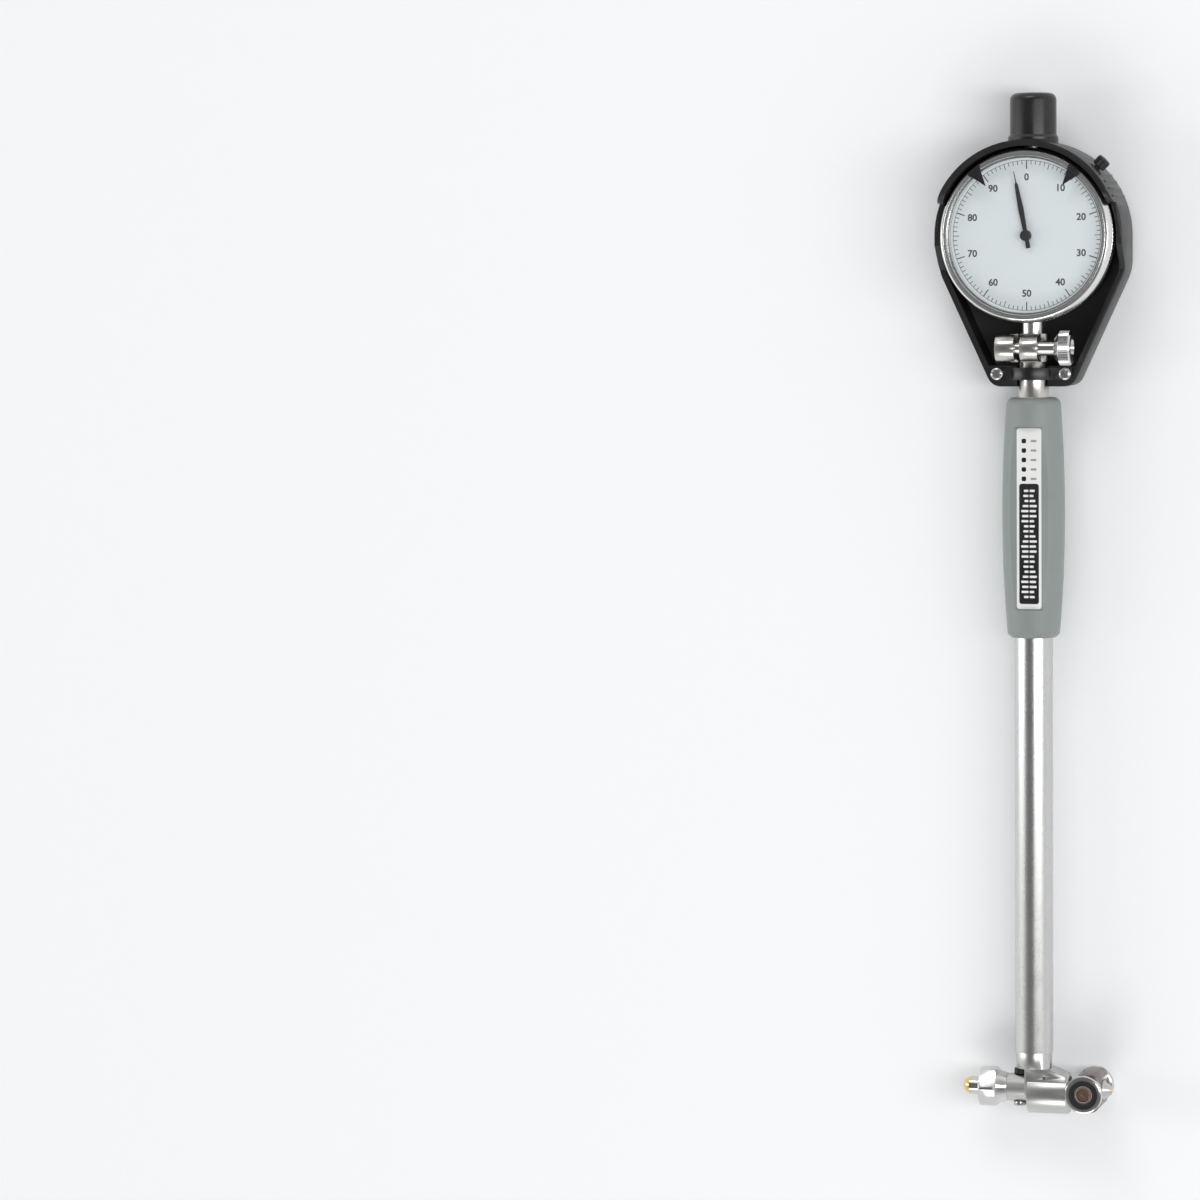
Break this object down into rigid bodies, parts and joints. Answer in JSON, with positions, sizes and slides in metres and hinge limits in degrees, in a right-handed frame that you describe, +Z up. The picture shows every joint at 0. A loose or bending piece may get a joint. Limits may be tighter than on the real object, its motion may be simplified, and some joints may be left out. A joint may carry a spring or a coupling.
{
  "type": "dial bore gauge",
  "caption": "Two-point bore gauge: a head with fixed anvil, sprung contact and guide wheels on a long tube with a grip, and a covered dial indicator at the top.",
  "frame": {"origin": "on the flat back of the dial's cover, under the centre of the dial; the gauge lies on its back with the dial up", "axes": "+X is the measuring direction, towards the sprung contact; +Y runs up the tube from the head to the dial; +Z is up, out of the dial"},
  "size_m": [0.062, 0.3369, 0.03],
  "materials": {
    "black_plastic": "moulded, fine grain",
    "grip_grey": "smooth satin plastic",
    "satin_steel": "satin ground",
    "bright_chrome": "polished plating",
    "dark_steel": "blackened",
    "carbide": "polished hard alloy",
    "bezel_bright": "bright turned",
    "case_bright": "satin turned",
    "crystal": "clear acrylic",
    "dial_white": "matt print",
    "needle_black": "satin black",
    "marker_black": "moulded",
    "brass": "satin",
    "spring_steel": "bare wire"
  },
  "bodies": {
    "frame": {"cover": "black_plastic", "cover_strap": "dark_steel", "cover_screws": "satin_steel", "top_cap": "black_plastic", "holder": "satin_steel", "grip": "grip_grey", "main_tube": "satin_steel", "rod_bushes": "brass", "rod_spring": "spring_steel", "indicator_case": "case_bright", "stem": "satin_steel", "top_bush": "satin_steel", "case_back": "case_bright", "case_back_screws": "satin_steel", "movement_plate": "brass", "movement_bridge": "brass", "movement_pillars": "brass", "spindle_guide": "brass", "spring_posts": "satin_steel", "return_spring": "spring_steel", "centre_cock": "brass", "hairspring": "spring_steel", "head_body": "satin_steel", "anvil": "bright_chrome", "anvil_tip": "carbide", "anvil_nut": "bright_chrome", "anvil_lock_screw": "dark_steel", "anvil_stop_screw": "satin_steel", "lever_pin": "satin_steel", "guide_springs": "spring_steel"},
    "bezel_ring": {"bezel": "bezel_bright", "crystal": "crystal", "dial_face": "dial_white"},
    "left_limit": {"left_marker": "marker_black"},
    "right_limit": {"right_marker": "marker_black"},
    "bezel_lock": {"bezel_lock_screw": "dark_steel"},
    "stem_clamp": {"clamp_screw": "bright_chrome"},
    "contact": {"contact_plunger": "satin_steel", "contact_tip": "carbide"},
    "guide": {"guide_bridge": "dark_steel", "guide_pins": "satin_steel", "wheel_axles": "satin_steel"},
    "wheel_front": {"front_wheel": "bright_chrome"},
    "wheel_rear": {"rear_wheel": "dark_steel"},
    "lever": {"bell_crank": "satin_steel"},
    "rod": {"push_rod": "satin_steel", "rod_collar": "brass"},
    "dial_spindle": {"spindle": "satin_steel", "spindle_pin": "satin_steel", "contact_point": "satin_steel"},
    "first_wheel": {"rack_arbor": "satin_steel", "rack_pinion": "satin_steel", "rack_wheel": "brass"},
    "needle": {"centre_arbor": "satin_steel", "centre_pinion": "satin_steel", "pointer": "needle_black", "pointer_hub": "needle_black"},
    "second_wheel": {"take_up_arbor": "satin_steel", "take_up_wheel": "brass"}
  },
  "joints": [
    {"name": "contact_slide", "type": "slide", "parent": "frame", "child": "contact", "axis": [-1, 0, 0], "range_m": [0, 0.0016]},
    {"name": "lever_turn", "type": "hinge", "parent": "frame", "child": "lever", "pos_m": [0.004, -0.278, 0.012], "axis": [0, 0, -1], "range_deg": [0, 24]},
    {"name": "rod_slide", "type": "slide", "parent": "frame", "child": "rod", "axis": [0, 1, 0], "range_m": [0, 0.00161], "stiffness_N_per_m": 150, "springref_m": -0.004, "deforming": ["rod_spring"]},
    {"name": "spindle_slide", "type": "slide", "parent": "frame", "child": "dial_spindle", "axis": [0, 1, 0], "range_m": [0, 0.00161], "stiffness_N_per_m": 40, "springref_m": -0.008, "deforming": ["return_spring"]},
    {"name": "first_wheel_turn", "type": "hinge", "parent": "frame", "child": "first_wheel", "pos_m": [-0.00288, -0.01065, 0.012], "axis": [0, 0, 1], "range_deg": [0, 58]},
    {"name": "needle_turn", "type": "hinge", "parent": "frame", "child": "needle", "pos_m": [0, 0, 0.012], "axis": [0, 0, -1], "range_deg": [0, 577]},
    {"name": "second_wheel_turn", "type": "hinge", "parent": "frame", "child": "second_wheel", "pos_m": [0.00288, 0.01065, 0.012], "axis": [0, 0, 1], "range_deg": [0, 58]},
    {"name": "guide_slide", "type": "slide", "parent": "frame", "child": "guide", "axis": [-1, 0, 0], "range_m": [0, 0.003], "stiffness_N_per_m": 400, "springref_m": -0.004, "deforming": ["guide_springs"]},
    {"name": "front_wheel_turn", "type": "hinge", "parent": "guide", "child": "wheel_front", "pos_m": [0.0184, -0.282, 0.012], "axis": [0, 0, 1], "continuous": true},
    {"name": "rear_wheel_turn", "type": "hinge", "parent": "guide", "child": "wheel_rear", "pos_m": [0.0184, -0.282, 0.012], "axis": [0, 0, 1], "continuous": true},
    {"name": "bezel_turn", "type": "hinge", "parent": "frame", "child": "bezel_ring", "pos_m": [0, 0, 0.012], "axis": [0, 0, 1], "continuous": true},
    {"name": "left_limit_turn", "type": "hinge", "parent": "bezel_ring", "child": "left_limit", "pos_m": [0, 0, 0.012], "axis": [0, 0, 1], "range_deg": [-30, 60]},
    {"name": "right_limit_turn", "type": "hinge", "parent": "bezel_ring", "child": "right_limit", "pos_m": [0, 0, 0.012], "axis": [0, 0, 1], "range_deg": [-60, 30]},
    {"name": "bezel_lock_turn", "type": "hinge", "parent": "frame", "child": "bezel_lock", "pos_m": [0.02192, 0.02192, 0.0166], "axis": [0.7071, 0.7071, 0], "range_deg": [-270, 0]},
    {"name": "stem_clamp_turn", "type": "hinge", "parent": "frame", "child": "stem_clamp", "pos_m": [0.0088, -0.0367, 0.0205], "axis": [1, 0, 0], "range_deg": [-180, 0]}
  ],
  "couplings": [
    {"joint": "lever_turn", "follows": "contact_slide", "rad_per_m": 257.5},
    {"joint": "rod_slide", "follows": "contact_slide", "ratio": 1},
    {"joint": "spindle_slide", "follows": "contact_slide", "ratio": 1},
    {"joint": "first_wheel_turn", "follows": "contact_slide", "rad_per_m": 628.32},
    {"joint": "needle_turn", "follows": "contact_slide", "rad_per_m": 6283.2},
    {"joint": "second_wheel_turn", "follows": "contact_slide", "rad_per_m": 628.32}
  ]
}
